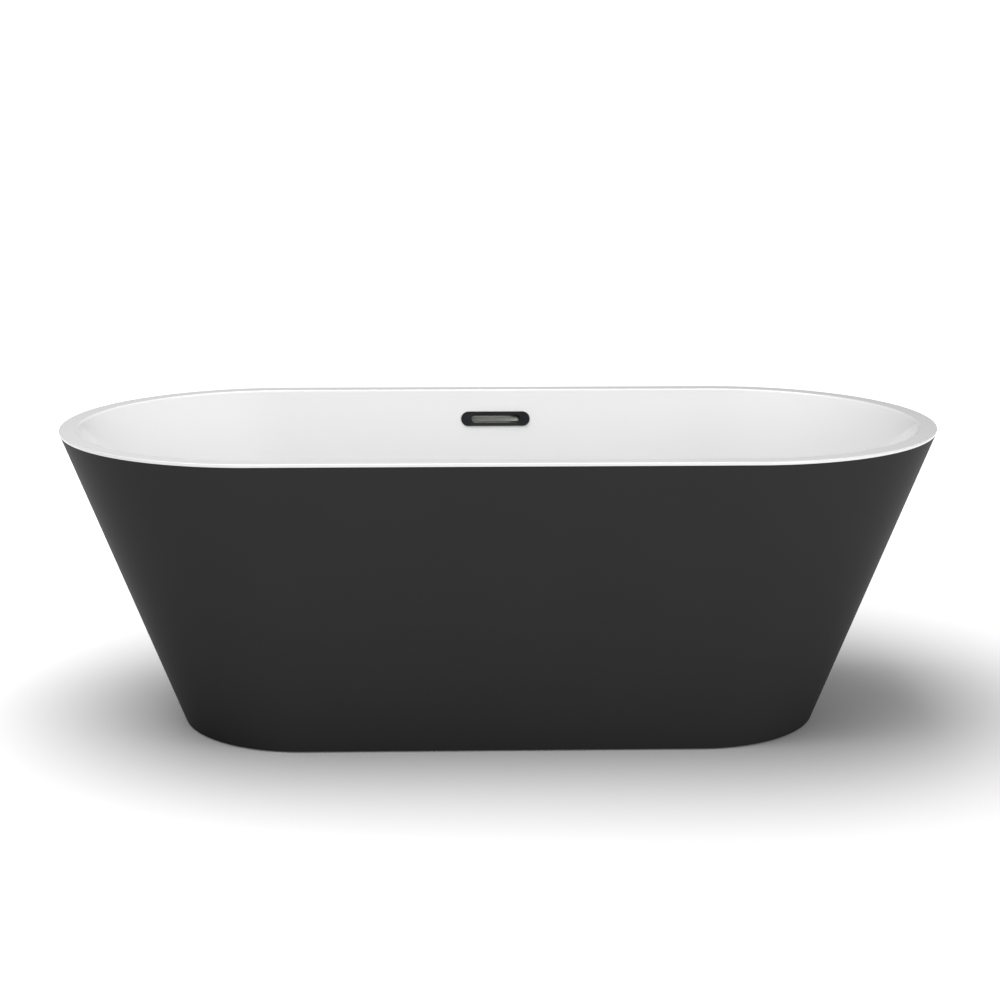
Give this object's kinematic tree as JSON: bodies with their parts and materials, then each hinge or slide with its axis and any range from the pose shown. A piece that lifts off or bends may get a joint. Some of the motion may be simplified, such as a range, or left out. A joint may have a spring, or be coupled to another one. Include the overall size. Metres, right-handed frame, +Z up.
{
  "type": "freestanding bathtub",
  "caption": "Pill-shaped freestanding bathtub: white basin in a flared matte black skirt, slotted overflow, push-to-open drain and a steel frame on levelling feet.",
  "frame": {"origin": "on the floor under the middle of the tub, on the drain's axis", "axes": "+X along the tub's length, +Y towards the wall with the overflow, +Z up"},
  "size_m": [1.7, 0.8, 0.59],
  "materials": {
    "white_acrylic": "polished white cast acrylic",
    "glass_fibre": "rough glass fibre laminate in polyester resin",
    "black_acrylic": "satin black acrylic sheet",
    "adhesive": "pale construction adhesive",
    "plywood": "birch plywood with a thin coat of resin",
    "galvanised_steel": "galvanised tube",
    "zinc_steel": "bright zinc plated",
    "yellow_zinc": "yellow zinc plated",
    "foot_plastic": "black moulded nylon",
    "black_metal": "satin black plated brass",
    "black_rubber": "black rubber",
    "pipe_plastic": "black moulded ABS",
    "white_plastic": "white moulded acetal",
    "chrome": "chrome plated brass tube",
    "satin_steel": "satin stainless steel",
    "hose_plastic": "pale flexible PVC"
  },
  "bodies": {
    "tub": {"basin_shell": "white_acrylic", "basin_laminate": "glass_fibre", "skirt_laminate": "glass_fibre", "skirt_shell": "black_acrylic", "rim_adhesive": "adhesive", "skirt_foot_ring": "plywood", "base_board": "plywood", "frame_rail_front": "galvanised_steel", "frame_rail_back": "galvanised_steel", "frame_cross_left": "galvanised_steel", "frame_cross_right": "galvanised_steel", "frame_nuts": "zinc_steel", "foot_locknut_front_left": "zinc_steel", "foot_locknut_front_right": "zinc_steel", "foot_locknut_back_left": "zinc_steel", "foot_locknut_back_right": "zinc_steel", "frame_screws": "yellow_zinc", "drain_flange": "black_metal", "overflow_trim": "black_metal", "drain_gasket": "black_rubber", "drain_washer": "black_rubber", "overflow_gasket": "black_rubber", "tail_seal": "black_rubber", "drain_tee": "pipe_plastic", "tail_nut": "pipe_plastic", "drain_locknut": "white_plastic", "overflow_channel": "white_plastic", "stopper_sleeve": "white_plastic", "tailpiece": "chrome", "overflow_strip": "satin_steel", "stopper_spring": "satin_steel", "hose_cuff_top": "satin_steel", "hose_cuff_bottom": "satin_steel", "overflow_hose": "hose_plastic"},
    "stopper": {"stopper_cap": "black_metal", "stopper_seal": "black_rubber", "stopper_stem": "satin_steel"},
    "stopper_cam": {"stopper_cam": "white_plastic"},
    "pad_front_left": {"foot_pad_front_left": "foot_plastic"},
    "stud_front_left": {"foot_stud_front_left": "zinc_steel"},
    "pad_front_right": {"foot_pad_front_right": "foot_plastic"},
    "stud_front_right": {"foot_stud_front_right": "zinc_steel"},
    "pad_back_left": {"foot_pad_back_left": "foot_plastic"},
    "stud_back_left": {"foot_stud_back_left": "zinc_steel"},
    "pad_back_right": {"foot_pad_back_right": "foot_plastic"},
    "stud_back_right": {"foot_stud_back_right": "zinc_steel"}
  },
  "joints": [
    {"name": "stopper_lift", "type": "slide", "parent": "tub", "child": "stopper", "axis": [0, 0, 1], "range_m": [0, 0.01], "deforming": ["stopper_spring"]},
    {"name": "stopper_cam_turn", "type": "hinge", "parent": "stopper", "child": "stopper_cam", "pos_m": [0, 0, 0.105], "axis": [0, 0, 1], "range_deg": [0, 45]},
    {"name": "foot_slide_front_left", "type": "slide", "parent": "tub", "child": "pad_front_left", "axis": [0, 0, -1], "range_m": [0, 0.02]},
    {"name": "stud_turn_front_left", "type": "hinge", "parent": "pad_front_left", "child": "stud_front_left", "pos_m": [-0.43, -0.165, 0.05], "axis": [0, 0, -1], "range_deg": [0, 4115]},
    {"name": "foot_slide_front_right", "type": "slide", "parent": "tub", "child": "pad_front_right", "axis": [0, 0, -1], "range_m": [0, 0.02]},
    {"name": "stud_turn_front_right", "type": "hinge", "parent": "pad_front_right", "child": "stud_front_right", "pos_m": [0.43, -0.165, 0.05], "axis": [0, 0, -1], "range_deg": [0, 4115]},
    {"name": "foot_slide_back_left", "type": "slide", "parent": "tub", "child": "pad_back_left", "axis": [0, 0, -1], "range_m": [0, 0.02]},
    {"name": "stud_turn_back_left", "type": "hinge", "parent": "pad_back_left", "child": "stud_back_left", "pos_m": [-0.43, 0.165, 0.05], "axis": [0, 0, -1], "range_deg": [0, 4115]},
    {"name": "foot_slide_back_right", "type": "slide", "parent": "tub", "child": "pad_back_right", "axis": [0, 0, -1], "range_m": [0, 0.02]},
    {"name": "stud_turn_back_right", "type": "hinge", "parent": "pad_back_right", "child": "stud_back_right", "pos_m": [0.43, 0.165, 0.05], "axis": [0, 0, -1], "range_deg": [0, 4115]}
  ],
  "couplings": [
    {"joint": "stopper_cam_turn", "follows": "stopper_lift", "rad_per_m": 78.54},
    {"joint": "stud_turn_front_left", "follows": "foot_slide_front_left", "rad_per_m": 3590.4},
    {"joint": "stud_turn_front_right", "follows": "foot_slide_front_right", "rad_per_m": 3590.4},
    {"joint": "stud_turn_back_left", "follows": "foot_slide_back_left", "rad_per_m": 3590.4},
    {"joint": "stud_turn_back_right", "follows": "foot_slide_back_right", "rad_per_m": 3590.4}
  ]
}
